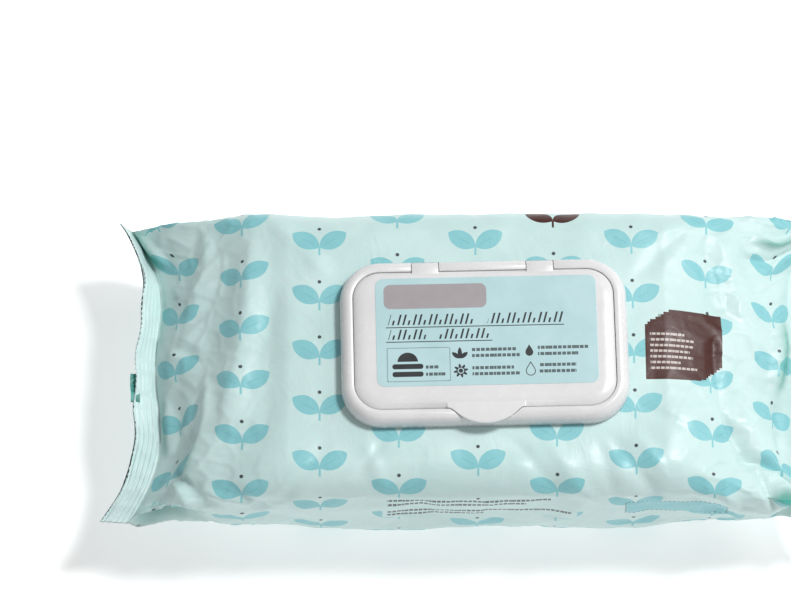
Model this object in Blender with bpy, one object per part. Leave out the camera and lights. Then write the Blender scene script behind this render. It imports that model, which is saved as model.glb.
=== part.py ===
"""A pack of wet wipes: a sealed film pouch with a hinged flip-top lid glued over its dispensing slot.

Metres, +Z up. +X runs along the pouch, +Y points to the hinge side, and the origin is on the ground
under the middle of the pouch.
"""

import math

import bmesh
import bpy
from mathutils import Vector

MM = 0.001
GAP = 0.3 * MM  # clearance between pieces that touch

# The pouch
POUCH_LENGTH = 240 * MM  # over both end seals
POUCH_DEPTH = 99 * MM
POUCH_HEIGHT = 56 * MM
POUCH_CORNER = 11 * MM  # radius of the long edges
TOP_BEND = 1.5  # exponents of the curves that the ends slope along
UNDER_BEND = 1.9
FLATTEST = 0.45  # a section's corner is at most this share of its height
SEAL_LENGTH = 106 * MM  # an end seal, from front to back
SEAL_WIDTH = 10 * MM
SEAL_THICKNESS = 1.0 * MM
SEAL_HEIGHT = 30 * MM  # its middle above the ground
TOP_SLOPE_RUN = 42 * MM  # how far the top takes to come down to an end seal
UNDER_SLOPE_RUN = 38 * MM
STATIONS_A_SLOPE = 12

# The flip-top's frame, in its own section: distance in from its outline, and height over its foot
BASE_LENGTH = 95 * MM
BASE_DEPTH = 57 * MM
BASE_CORNER = 13.5 * MM
TIGHTEST_CORNER = 0.5 * MM  # that an outline keeps as it moves inwards
BASE_OFFSET_X = 2.5 * MM  # it sits a little off the pouch's middle
RIM_WIDTH = 4.25 * MM
RIM_HEIGHT = 6.6 * MM
RIM_ROUND_WIDTH = 3.2 * MM  # the outer shoulder's quarter ellipse
RIM_ROUND_HEIGHT = 4.4 * MM
RIM_INNER_HEIGHT = 6.3 * MM
RIM_CEILING = 5.0 * MM  # of the hollow under the rim
WALL = 1.2 * MM
SEAT_HEIGHT = 3.4 * MM  # the ledge that the closed lid stands on
SEAT_INSET = RIM_WIDTH + 1.35 * MM
DECK_HEIGHT = 1.8 * MM
COLLAR_INSET = 9.2 * MM
COLLAR_HEIGHT = 4.0 * MM
WINDOW_INSET = COLLAR_INSET + WALL

# The lid
LID_INSET = RIM_WIDTH + GAP  # its outline, in from the frame's
LID_HEIGHT = 7.2 * MM  # its top over the frame's foot
LID_ROLL_WIDTH = 4.5 * MM  # its rolled edge's quarter ellipse
LID_ROLL_HEIGHT = 1.6 * MM
LID_THICKNESS = 1.2 * MM
SKIRT_FILLET = 0.4 * MM  # where the skirt meets the panel's underside
SKIRT_FOOT = SEAT_HEIGHT + GAP
BEAD_INSET = 3.25 * MM  # the sealing bead, in from the lid's outline
BEAD_THICKNESS = 0.9 * MM
BEAD_FOOT = 3.3 * MM

# The hinge and the thumb tab
AXIS_INSET = 0.9 * MM  # the hinge axis, in from the frame's rear edge
AXIS_HEIGHT = 6.2 * MM
STRAP_CENTRE = 19 * MM  # each strap, from the lid's middle
STRAP_WIDTH = 8.8 * MM
STRAP_THICKNESS = 0.8 * MM
STRAP_CORNER = 0.4 * MM
SHARP_CORNER = 0.1 * MM  # of the slots that the straps lie in
TAB_HALF_WIDTH = 11.5 * MM
TAB_OVERHANG = 1.0 * MM  # past the frame's front edge
TAB_TOP = 6.9 * MM
TAB_THICKNESS = 1.0 * MM
TAB_STEPS = 20

# The label, the peel seal and the glue
LABEL_LENGTH = 73 * MM
LABEL_DEPTH = 38 * MM
LABEL_CORNER = 2.7 * MM
LABEL_OFFSET = Vector((0.8 * MM, 2.4 * MM))
SHEET = 0.3 * MM  # thickness of the label, the peel seal and the glue
PEEL_LENGTH = 58 * MM
PEEL_DEPTH = 29 * MM
PEEL_CORNER = 13 * MM
PULL_TAB_LENGTH = 6 * MM
PULL_TAB_WIDTH = 13 * MM
PULL_TAB_CORNER = 3 * MM
PULL_TAB_ROOT = 4 * MM  # how far it runs in under the seal's end
GLUE_INSET = 4.9 * MM
GLUE_WIDTH = 3.8 * MM

CORNER_STEPS = 8  # segments in a quarter turn of an outline
ARC_STEPS = 6  # segments in a quarter turn of a section

BASE_FOOT = POUCH_HEIGHT + GAP
BASE_MIDDLE = Vector((BASE_OFFSET_X, 0.0))


def empty_scene():
    for thing in list(bpy.data.objects):
        bpy.data.objects.remove(thing, do_unlink=True)


def plastic(name, colour, roughness):
    material = bpy.data.materials.new(name)
    material.use_nodes = True
    shader = material.node_tree.nodes["Principled BSDF"]
    shader.inputs["Base Color"].default_value = (*colour, 1.0)
    shader.inputs["Roughness"].default_value = roughness
    shader.inputs["Metallic"].default_value = 0.0
    return material


def rounded_rectangle(middle, length, depth, corner, steps=CORNER_STEPS):
    """Points counter-clockwise around a rectangle with round corners."""
    points = []
    for quarter, (side_x, side_y) in enumerate(((1, 1), (-1, 1), (-1, -1), (1, -1))):
        centre = middle + Vector((side_x * (length / 2 - corner), side_y * (depth / 2 - corner)))
        for step in range(steps + 1):
            angle = math.pi / 2 * (quarter + step / steps)
            points.append(centre + corner * Vector((math.cos(angle), math.sin(angle))))
    return points


def frame_outline(inset):
    """The frame's outline moved inwards."""
    corner = max(BASE_CORNER - inset, TIGHTEST_CORNER)
    return rounded_rectangle(BASE_MIDDLE, BASE_LENGTH - 2 * inset, BASE_DEPTH - 2 * inset, corner)


def quarter_ellipse(centre, width, height, start, end, steps=ARC_STEPS):
    """Section points on an ellipse, between two angles in degrees."""
    points = []
    for step in range(steps + 1):
        angle = math.radians(start + (end - start) * step / steps)
        points.append((centre[0] + width * math.cos(angle), centre[1] + height * math.sin(angle)))
    return points


def object_from(mesh_builder, name, material):
    """Closes a bmesh into a named object with its faces pointing out."""
    bmesh.ops.recalc_face_normals(mesh_builder, faces=mesh_builder.faces)
    mesh = bpy.data.meshes.new(name)
    mesh_builder.to_mesh(mesh)
    mesh_builder.free()
    thing = bpy.data.objects.new(name, mesh)
    bpy.context.collection.objects.link(thing)
    if material:
        mesh.materials.append(material)
    mesh.shade_smooth()
    mesh.set_sharp_from_angle(angle=math.radians(35))
    return thing


def bridged(mesh_builder, rings):
    """Quads between each ring of vertices and the next."""
    for ring, following in zip(rings, rings[1:]):
        count = len(ring)
        for i in range(count):
            j = (i + 1) % count
            mesh_builder.faces.new((ring[i], ring[j], following[j], following[i]))


def swept_rings(builder, section):
    """A section carried around the frame's outline, as one ring of vertices for each of its points."""
    return [
        [builder.verts.new((p.x, p.y, BASE_FOOT + height)) for p in frame_outline(inset)]
        for inset, height in section
    ]


def swept_ring(section, name, material):
    """A closed section carried around the frame: a ring with a window."""
    builder = bmesh.new()
    rings = swept_rings(builder, section)
    bridged(builder, [*rings, rings[0]])
    return object_from(builder, name, material)


def lofted(builder, rings, name, material):
    """Rings of vertices joined up, with the first and the last one filled."""
    bridged(builder, rings)
    builder.faces.new(rings[0])
    builder.faces.new(rings[-1])
    return object_from(builder, name, material)


def prism(outline, low, high, name, material=None):
    """A flat outline extruded from one height to another."""
    builder = bmesh.new()
    rings = [[builder.verts.new((p.x, p.y, z)) for p in outline] for z in (low, high)]
    return lofted(builder, rings, name, material)


def combined(thing, tool, operation):
    """Applies a Boolean with a tool that is then thrown away."""
    modifier = thing.modifiers.new(tool.name, "BOOLEAN")
    modifier.object = tool
    modifier.operation = operation
    modifier.solver = "EXACT"
    evaluated = thing.evaluated_get(bpy.context.evaluated_depsgraph_get())
    mesh = bpy.data.meshes.new_from_object(evaluated)
    thing.modifiers.clear()
    thing.data = mesh
    mesh.name = thing.name
    bpy.data.objects.remove(tool, do_unlink=True)


def eased(share, bend):
    """From 0 to 1 along a quarter of a superellipse: steep at first, then level."""
    left = 1 - min(max(share, 0.0), 1.0)
    return (1 - left**bend) ** (1 / bend)


def pouch_section(x):
    """The pouch's cross-section at x, as points counter-clockwise in (y, z)."""
    past_seal = POUCH_LENGTH / 2 - SEAL_WIDTH - abs(x)
    rise = eased(past_seal / TOP_SLOPE_RUN, TOP_BEND)
    fall = eased(past_seal / UNDER_SLOPE_RUN, UNDER_BEND)
    half_seal = SEAL_THICKNESS / 2
    high = SEAL_HEIGHT + half_seal + (POUCH_HEIGHT - SEAL_HEIGHT - half_seal) * rise
    low = (SEAL_HEIGHT - half_seal) * (1 - fall)
    depth = SEAL_LENGTH + (POUCH_DEPTH - SEAL_LENGTH) * rise
    corner = min(POUCH_CORNER, (high - low) * FLATTEST)
    middle = Vector((0.0, (low + high) / 2))
    return rounded_rectangle(middle, depth, high - low, corner)


def pouch_stations():
    """Where the pouch's cross-sections stand: close together where an end turns over."""
    outer = POUCH_LENGTH / 2
    inner = outer - SEAL_WIDTH
    slope = [
        inner - TOP_SLOPE_RUN * (1 - math.cos(math.pi / 2 * step / STATIONS_A_SLOPE))
        for step in range(STATIONS_A_SLOPE + 1)
    ]
    middle = inner - TOP_SLOPE_RUN
    right = [outer, *slope, middle / 2]
    return [-x for x in right] + [0.0] + right[::-1]


def make_pouch():
    builder = bmesh.new()
    rings = [[builder.verts.new((x, y, z)) for y, z in pouch_section(x)] for x in pouch_stations()]
    lofted(builder, rings, "film_pack", plastic("film", (0.62, 0.84, 0.80), 0.32))


def frame_section():
    """The frame's thin-walled section: over the rim, down to the deck, up the collar and back under."""
    shoulder = RIM_HEIGHT - RIM_ROUND_HEIGHT
    centre = (RIM_ROUND_WIDTH, shoulder)
    over = [
        (0.0, 0.0),
        *quarter_ellipse(centre, RIM_ROUND_WIDTH, RIM_ROUND_HEIGHT, 180, 90),
        (RIM_WIDTH - 0.1 * MM, RIM_INNER_HEIGHT),
        (RIM_WIDTH, SEAT_HEIGHT),
        (SEAT_INSET, SEAT_HEIGHT),
        (SEAT_INSET, DECK_HEIGHT),
        (COLLAR_INSET, DECK_HEIGHT),
        (COLLAR_INSET, COLLAR_HEIGHT),
        (WINDOW_INSET, COLLAR_HEIGHT),
        (WINDOW_INSET, 0.0),
    ]
    under = [
        (COLLAR_INSET, 0.0),
        (COLLAR_INSET, DECK_HEIGHT - WALL),
        (SEAT_INSET - WALL, DECK_HEIGHT - WALL),
        (SEAT_INSET - WALL, SEAT_HEIGHT - WALL),
        (RIM_WIDTH - WALL, SEAT_HEIGHT - WALL),
        *quarter_ellipse(centre, RIM_ROUND_WIDTH - WALL, RIM_CEILING - shoulder, 95, 180, ARC_STEPS - 2),
        (WALL, 0.0),
    ]
    return over + under


def tab_outline(extra=0.0):
    """The thumb tab seen from above: a slice of a circle that starts inside the lid, with room around it."""
    lid_front = -BASE_DEPTH / 2 + LID_INSET
    reach = LID_INSET + TAB_OVERHANG
    radius = (TAB_HALF_WIDTH**2 + reach**2) / (2 * reach)
    centre = BASE_MIDDLE + Vector((0.0, lid_front - reach + radius))
    opening = math.asin(TAB_HALF_WIDTH / radius)
    points = []
    for step in range(TAB_STEPS + 1):
        angle = opening * (-1 + 2 * step / TAB_STEPS)
        points.append(centre + (radius + extra) * Vector((math.sin(angle), -math.cos(angle))))
    root = lid_front + LID_THICKNESS
    return [*points, Vector((points[-1].x, root)), Vector((points[0].x, root))]


def strap_outline(side, extra=0.0):
    """A hinge strap seen from above, from the axis to inside the lid."""
    rear = BASE_DEPTH / 2 - AXIS_INSET + STRAP_THICKNESS / 2 + extra
    front = BASE_DEPTH / 2 - LID_INSET - LID_THICKNESS
    middle = BASE_MIDDLE + Vector((side * STRAP_CENTRE, (rear + front) / 2))
    return rounded_rectangle(middle, STRAP_WIDTH + 2 * extra, rear - front, STRAP_CORNER, steps=2)


def notch_outline(side):
    """The slot in the rear rim that a strap lies in, open at the back."""
    rear = BASE_DEPTH / 2 + GAP
    front = BASE_DEPTH / 2 - RIM_WIDTH - GAP
    middle = BASE_MIDDLE + Vector((side * STRAP_CENTRE, (rear + front) / 2))
    return rounded_rectangle(middle, STRAP_WIDTH + 2 * GAP, rear - front, SHARP_CORNER, steps=1)


def make_frame():
    material = plastic("white_plastic", (0.86, 0.86, 0.87), 0.28)
    frame = swept_ring(frame_section(), "lid_base", material)
    above = BASE_FOOT + 2 * RIM_HEIGHT
    tab_slot = prism(tab_outline(GAP), BASE_FOOT + TAB_TOP - TAB_THICKNESS - GAP, above, "tab_slot")
    combined(frame, tab_slot, "DIFFERENCE")
    strap_foot = AXIS_HEIGHT - STRAP_THICKNESS / 2
    for side, hand in ((-1, "left"), (1, "right")):
        slot = prism(notch_outline(side), BASE_FOOT + strap_foot - GAP, above, f"slot_{hand}")
        combined(frame, slot, "DIFFERENCE")


def lid_section():
    """The lid's section, from the middle of its underside, round the skirt, to the middle of its top."""
    ceiling = LID_HEIGHT - LID_THICKNESS
    bead_inner = LID_INSET + BEAD_INSET + BEAD_THICKNESS
    bead_outer = LID_INSET + BEAD_INSET
    roll_foot = LID_HEIGHT - LID_ROLL_HEIGHT
    centre = (LID_INSET + LID_ROLL_WIDTH, roll_foot)
    return [
        (bead_inner, ceiling),
        (bead_inner, BEAD_FOOT),
        (bead_outer, BEAD_FOOT),
        (bead_outer, ceiling),
        (LID_INSET + WALL, ceiling - SKIRT_FILLET),
        (LID_INSET + WALL, SKIRT_FOOT),
        (LID_INSET, SKIRT_FOOT),
        *quarter_ellipse(centre, LID_ROLL_WIDTH, LID_ROLL_HEIGHT, 180, 90),
    ]


def make_lid(hinge):
    material = plastic("white_plastic_lid", (0.88, 0.88, 0.89), 0.24)
    builder = bmesh.new()
    lid = lofted(builder, swept_rings(builder, lid_section()), "lid", material)
    tab_low = BASE_FOOT + TAB_TOP - TAB_THICKNESS
    combined(lid, prism(tab_outline(), tab_low, BASE_FOOT + TAB_TOP, "tab"), "UNION")
    strap_low = BASE_FOOT + AXIS_HEIGHT - STRAP_THICKNESS / 2
    for side, hand in ((-1, "left"), (1, "right")):
        strap = prism(strap_outline(side), strap_low, strap_low + STRAP_THICKNESS, f"strap_{hand}")
        combined(lid, strap, "UNION")
    recess = rounded_rectangle(
        BASE_MIDDLE + LABEL_OFFSET, LABEL_LENGTH + 2 * GAP, LABEL_DEPTH + 2 * GAP, LABEL_CORNER + GAP
    )
    floor = BASE_FOOT + LID_HEIGHT - SHEET - GAP
    combined(lid, prism(recess, floor, floor + LID_HEIGHT, "label_recess"), "DIFFERENCE")
    hang_on(lid, hinge)


def make_label(hinge):
    outline = rounded_rectangle(BASE_MIDDLE + LABEL_OFFSET, LABEL_LENGTH, LABEL_DEPTH, LABEL_CORNER)
    top = BASE_FOOT + LID_HEIGHT
    label = prism(outline, top - SHEET, top, "lid_label", plastic("label", (0.50, 0.74, 0.76), 0.38))
    hang_on(label, hinge)


def make_glue():
    """A flat ring in the channel under the frame's deck."""
    inner = GLUE_INSET + GLUE_WIDTH
    section = [(GLUE_INSET, 0.0), (GLUE_INSET, SHEET), (inner, SHEET), (inner, 0.0)]
    swept_ring(section, "adhesive_ring", plastic("glue", (0.80, 0.76, 0.66), 0.5))


def make_peel_seal():
    """A round-ended film label over the dispensing slot, with a pull tab at its right end."""
    body = rounded_rectangle(BASE_MIDDLE, PEEL_LENGTH, PEEL_DEPTH, PEEL_CORNER)
    foot = POUCH_HEIGHT + GAP
    seal = prism(body, foot, foot + SHEET, "peel_seal", plastic("peel_film", (0.72, 0.88, 0.86), 0.3))
    tab_middle = BASE_MIDDLE + Vector((PEEL_LENGTH / 2 + (PULL_TAB_LENGTH - PULL_TAB_ROOT) / 2, 0.0))
    tab = rounded_rectangle(tab_middle, PULL_TAB_LENGTH + PULL_TAB_ROOT, PULL_TAB_WIDTH, PULL_TAB_CORNER)
    combined(seal, prism(tab, foot, foot + SHEET, "pull_tab"), "UNION")


def make_hinge():
    """The empty on the hinge axis, which carries everything that swings."""
    hinge = bpy.data.objects.new("lid_hinge", None)
    hinge.location = (BASE_OFFSET_X, BASE_DEPTH / 2 - AXIS_INSET, BASE_FOOT + AXIS_HEIGHT)
    bpy.context.collection.objects.link(hinge)
    return hinge


def hang_on(thing, hinge):
    """Parents a piece to the hinge, with its own origin on the axis as well."""
    shift = hinge.location.copy()
    for vertex in thing.data.vertices:
        vertex.co -= shift
    thing.parent = hinge


def main():
    empty_scene()
    hinge = make_hinge()
    make_pouch()
    make_glue()
    make_peel_seal()
    make_frame()
    make_lid(hinge)
    make_label(hinge)


main()
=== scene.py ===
"""Looks of the wet wipes pack: the crinkled printed film, the moulded flip-top lid and its label.

Metres, in the frame's own axes: +X along the pouch, +Y to the lid's hinge, +Z up. Shapes that repeat
the frame's start from its boxes, and the sizes of fine detail are named beside the part that uses them.
"""

import functools
import math
import bmesh
import bpy
import numpy as np
from mathutils import Euler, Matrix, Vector


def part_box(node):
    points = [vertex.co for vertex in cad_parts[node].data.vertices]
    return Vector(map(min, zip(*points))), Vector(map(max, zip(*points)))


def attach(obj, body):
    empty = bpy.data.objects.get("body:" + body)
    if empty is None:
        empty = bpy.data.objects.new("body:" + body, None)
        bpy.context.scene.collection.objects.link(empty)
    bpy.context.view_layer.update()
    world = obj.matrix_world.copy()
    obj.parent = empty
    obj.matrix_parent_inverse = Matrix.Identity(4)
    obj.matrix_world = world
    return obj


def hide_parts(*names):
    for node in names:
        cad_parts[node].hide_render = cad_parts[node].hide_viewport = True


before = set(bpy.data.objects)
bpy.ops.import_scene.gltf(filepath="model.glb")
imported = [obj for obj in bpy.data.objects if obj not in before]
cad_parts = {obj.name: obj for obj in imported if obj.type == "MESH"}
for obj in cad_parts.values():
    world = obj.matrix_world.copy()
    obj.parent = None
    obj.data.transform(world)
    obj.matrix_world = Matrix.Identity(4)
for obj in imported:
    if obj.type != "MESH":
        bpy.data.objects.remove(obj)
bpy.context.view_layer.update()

MM = 0.001

# ---- Sizes that come from the frame ----

POUCH_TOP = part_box("film_pack")[1][2]
BASE_LOW, BASE_HIGH = (np.array(corner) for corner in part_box("lid_base"))
LABEL_LOW, LABEL_HIGH = (np.array(corner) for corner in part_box("lid_label"))
PEEL_LOW, PEEL_HIGH = (np.array(corner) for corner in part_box("peel_seal"))
BASE_FOOT = BASE_LOW[2]
BASE_MIDDLE = (BASE_LOW + BASE_HIGH) / 2
BASE_LENGTH = BASE_HIGH[0] - BASE_LOW[0]
BASE_DEPTH = BASE_HIGH[1] - BASE_LOW[1]


# ---- Meshes ----


def thing_from(builder, name):
    """Makes an object of a bmesh, with its faces turned outwards."""
    bmesh.ops.recalc_face_normals(builder, faces=builder.faces)
    mesh = bpy.data.meshes.new(name)
    builder.to_mesh(mesh)
    builder.free()
    thing = bpy.data.objects.new(name, mesh)
    bpy.context.collection.objects.link(thing)
    return thing


def piece_from(builder, name, material, body, node, sharp=None):
    """Makes a piece that rides on a body, and may stand for a CAD node."""
    piece = thing_from(builder, name)
    piece.data.materials.append(material)
    piece.data.shade_smooth()
    if sharp:
        piece.data.set_sharp_from_angle(angle=math.radians(sharp))
    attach(piece, body)
    if node:
        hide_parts(node)
    return piece


def bridged(builder, rings):
    """Quads between each ring of vertices and the next."""
    for ring, following in zip(rings, rings[1:]):
        for i, vertex in enumerate(ring):
            j = (i + 1) % len(ring)
            builder.faces.new((vertex, ring[j], following[j], following[i]))


def capped(builder, rings):
    """Quads between the rings, and a face over the first and the last."""
    bridged(builder, rings)
    builder.faces.new(rings[0])
    builder.faces.new(rings[-1])


def rounded_rectangle(middle, length, depth, corner, steps):
    """Points counter-clockwise around a rectangle with round corners."""
    points = []
    for quarter, (side_x, side_y) in enumerate(((1, 1), (-1, 1), (-1, -1), (1, -1))):
        centre_x = middle[0] + side_x * (length / 2 - corner)
        centre_y = middle[1] + side_y * (depth / 2 - corner)
        for step in range(steps + 1):
            angle = math.pi / 2 * (quarter + step / steps)
            points.append((centre_x + corner * math.cos(angle), centre_y + corner * math.sin(angle)))
    return points


def arc(centre, width, height, start, end, steps):
    """Section points on an ellipse, between two angles in degrees."""
    angles = np.radians(np.linspace(start, end, steps + 1))
    return [(centre[0] + width * math.cos(a), centre[1] + height * math.sin(a)) for a in angles]


def smooth_step(value, low, high):
    """0 below low, 1 above high and an even curve between."""
    share = np.clip((value - low) / (high - low), 0.0, 1.0)
    return share * share * (3 - 2 * share)


# ---- The film: sections set along the pouch, then folds ----

SIDE_HALF = 49.3 * MM  # half the pouch's depth
FILM_TURN = math.radians(-0.9)  # the frame is glued on a little askew
EDGE_ROUND = 9.5 * MM  # radius of its long upper edges
FOOT_ROUND = 19 * MM  # radius of its long lower edges
EDGE_CRISP = 0.8 * MM  # their radius where they run into a seal
UNDERSIDE = 0.6 * MM  # of the film, which leaves room for the long back seal
FILM_TOP = POUCH_TOP + 0.1 * MM
SEAL_WIDTH = 8.6 * MM
SEAL_HALF_THICKNESS = 0.45 * MM
SEAL_HALF_LENGTH = 52.5 * MM
SEAL_HEIGHT = 30 * MM
SEAL_INNER = 106.3 * MM  # from the middle to where a seal begins, half way along the seal
CORNER_REACH = 9.0 * MM  # how much further out a seal's corners are than its middle
TOP_RUN = 44 * MM
TOP_BEND = 1.4
UNDER_RUN = 42 * MM
UNDER_BEND = 1.8
UNDER_NARROWING = 0.1  # by how much the lower edges draw in near a seal
BOW_RUN = 34 * MM  # how far before a seal the ends begin to bow
SEAL_WAVE = 52 * MM  # from one crest of the wave along a seal to the next
LEFT_LIFT, LEFT_SWAY, RIGHT_LIFT = 40, 24, 26  # degrees the seals turn up, and how much the left one sways
TUCK_START = (26 * MM, 17 * MM)  # how far before the left and right seals the side begins to fold in
TUCK_DEPTH = 21 * MM
RIB_PITCH = 1.7 * MM
RIB_HEIGHT = 0.36 * MM
FAINTEST_RIB = 0.35  # a rib's height where it is faintest, as a share of the full height
TOOTH = 0.45 * MM
SIDE_BULGE = 1.6 * MM
LOOSE_END = (62 * MM, 92 * MM)  # from the middle to where the film begins to be loose and where it is quite
LOOSE_EDGE = (44 * MM, 60 * MM)  # the same, around the film
SWAY = 3 * MM  # how far the crumples stray from straight rows
COARSE_HEIGHTS = (0.21 * MM, 1.725 * MM, 0.525 * MM)  # in the middle, and more at the ends and long edges
FINE_HEIGHTS = (0.12 * MM, 0.8 * MM, 0.3 * MM)
CREASE_DEPTHS = (0.05 * MM, 0.32 * MM, 0.12 * MM)
VALLEY_WIDTH = 0.28  # of a crease between facets, in cells
CELLS = 96  # after this many, the crumples repeat
SEAL_STATIONS = 40
SLOPE_STATIONS = 62
HALF_MIDDLE_STATIONS = 40
FLAT_STEPS = 44
CORNER_SAMPLES = 24
SIDE_STEPS = 26


def film_stations():
    """Distances along the pouch of its sections, which stand closest in the ribbed seals."""
    outer = SEAL_INNER + SEAL_WIDTH
    slope_end = SEAL_INNER - 45 * MM
    seal = np.linspace(outer, SEAL_INNER, SEAL_STATIONS, endpoint=False)
    slope = np.linspace(SEAL_INNER, slope_end, SLOPE_STATIONS, endpoint=False)
    middle = np.linspace(slope_end, 0.0, HALF_MIDDLE_STATIONS)
    right = np.concatenate([seal, slope, middle])
    return np.concatenate([-right, right[-2::-1]])


def girth_samples():
    """The section's points, from the middle of the underside by the front, the top and the back.

    Each one is a place on the section's inner rectangle, from -1 to 1 in y and z, and the angle of the
    rounding around it.
    """
    flat, corner, side, top = FLAT_STEPS, CORNER_SAMPLES, SIDE_STEPS, 2 * FLAT_STEPS

    def run(count, y_ends, z_ends, turn_ends):
        share = np.arange(count) / count
        return np.stack([a + (b - a) * share for a, b in (y_ends, z_ends, turn_ends)], axis=1)

    parts = [
        run(flat, (0, -1), (-1, -1), (-90, -90)),
        run(corner, (-1, -1), (-1, -1), (-90, -180)),
        run(side, (-1, -1), (-1, 1), (-180, -180)),
        run(corner, (-1, -1), (1, 1), (180, 90)),
        run(top, (-1, 1), (1, 1), (90, 90)),
        run(corner, (1, 1), (1, 1), (90, 0)),
        run(side, (1, 1), (1, -1), (0, 0)),
        run(corner, (1, 1), (-1, -1), (0, -90)),
        run(flat, (1, 0), (-1, -1), (-90, -90)),
    ]
    return np.concatenate(parts)


def eased(share, bend):
    """From 0 to 1: steep at first, then level, the more so the greater the bend."""
    left = 1 - np.clip(share, 0.0, 1.0)
    return (1 - left**bend) ** (1 / bend)


def film_points(x, samples):
    """Places of the film before its folds, and how deep it is tucked in: stations by samples by 4."""
    along = np.abs(x)[:, None]
    past_seal = SEAL_INNER - along
    rise = eased(past_seal / TOP_RUN, TOP_BEND)
    fall = eased(past_seal / UNDER_RUN, UNDER_BEND)
    seal_top, seal_foot = SEAL_HEIGHT + SEAL_HALF_THICKNESS, SEAL_HEIGHT - SEAL_HALF_THICKNESS
    high = seal_top + (FILM_TOP - seal_top) * rise
    low = seal_foot * (1 - fall) + UNDERSIDE * fall
    half = SEAL_HALF_LENGTH + (SIDE_HALF - SEAL_HALF_LENGTH) * rise
    tall = (high - low) / 2
    place_y, place_z, turn = (samples[:, k][None, :] for k in range(3))
    full_round = np.where(place_z > 0, EDGE_ROUND, FOOT_ROUND)
    corner = EDGE_CRISP + (full_round - EDGE_CRISP) * smooth_step(past_seal, 6 * MM, 46 * MM)
    corner = np.minimum(corner, tall * 0.8)
    turn = np.radians(turn)
    y = place_y * (half - corner) + corner * np.cos(turn)
    z = (high + low) / 2 + place_z * (tall - corner) + corner * np.sin(turn)
    height = (z - (high + low) / 2) / tall
    near_seal = smooth_step(past_seal, 0.0, 10 * MM) * (1 - smooth_step(past_seal, 14 * MM, 56 * MM))
    y = y * (1 - UNDER_NARROWING * near_seal * smooth_step(-height, -0.4, 0.9))
    on_side = smooth_step(np.abs(place_y), 0.98, 1.0)
    tuck = on_side * tucked(x[:, None]) * np.clip(1 - np.abs(height), 0.0, 1.0)
    bulge = SIDE_BULGE * on_side * (1 - height**2) * (1 - tucked(x[:, None]))
    y = y + np.sign(place_y) * (bulge - TUCK_DEPTH * tuck)
    return np.stack([np.broadcast_to(x[:, None], y.shape), y, z, tuck], axis=2)


def tucked(x):
    """How far the sides are folded in, from 0 in the pouch's middle to 1 at the seals."""
    start = np.where(x < 0, *TUCK_START)
    return (1 - smooth_step(SEAL_INNER - np.abs(x), 0.0, start)) ** 1.5


def evened(points):
    """The same sections, each with its points as far around the film as they are in the pouch's middle."""
    closed = np.concatenate([points, points[:, :1]], axis=1)
    steps = np.linalg.norm(np.diff(closed[:, :, :3], axis=1), axis=2)
    shares = np.concatenate([np.zeros((len(points), 1)), np.cumsum(steps, axis=1)], axis=1)
    shares = shares / shares[:, -1:]
    standard = shares[len(points) // 2, :-1]
    columns = range(points.shape[2])
    return np.array(
        [[np.interp(standard, share, ring[:, k]) for k in columns] for share, ring in zip(shares, closed)]
    ).transpose(0, 2, 1)


def film_frame(points):
    """Unit normals that point out of the film."""
    along = np.gradient(points, axis=0)
    around = (np.roll(points, -1, axis=1) - np.roll(points, 1, axis=1)) / 2
    normal = np.cross(around, along)
    return normal / np.maximum(np.linalg.norm(normal, axis=2, keepdims=True), 1e-9)


def girth_lengths(points):
    """Distance around the film from the middle of its top, negative to the front, in the pouch's middle."""
    ring = points[len(points) // 2]
    steps = np.linalg.norm(np.roll(ring, -1, axis=0) - ring, axis=1)
    length = np.concatenate([[0.0], np.cumsum(steps)])
    return length - length[-1] / 2


def lengths_along(points, top_index):
    """Distance along the top's middle line from the pouch's middle."""
    line = points[:, top_index]
    steps = np.linalg.norm(np.diff(line, axis=0), axis=1)
    length = np.concatenate([[0.0], np.cumsum(steps)])
    return length - length[len(length) // 2]


class Fold:
    """A crease in the film from one point to another, in millimetres along the pouch and around it.

    It is a ridge where its height is above 0 and a valley below it, as wide as it says to each side,
    and crisp is 1 for a sharp line and 0 for a soft swell.
    """

    def __init__(self, start, end, width, height, crisp=0.6, bend=0.0):
        self.start, self.end = np.array(start) * MM, np.array(end) * MM
        self.width, self.height = width * MM, height * MM
        self.crisp, self.bend = crisp, bend * MM

    def at(self, u, v):
        run = self.end - self.start
        length = np.linalg.norm(run)
        run = run / length
        along = ((u - self.start[0]) * run[0] + (v - self.start[1]) * run[1]) / length
        across = -(u - self.start[0]) * run[1] + (v - self.start[1]) * run[0]
        across = across - self.bend * 4 * along * (1 - along)
        fade = smooth_step(along, -0.12, 0.25) * (1 - smooth_step(along, 0.75, 1.12))
        reach = np.abs(across) / (self.width * (0.55 + 0.45 * fade))
        soft = np.exp(-(reach**2) * 2)
        sharp = np.maximum(1 - reach, 0.0) ** 1.3
        return self.height * fade * (soft + (sharp - soft) * self.crisp)


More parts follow.
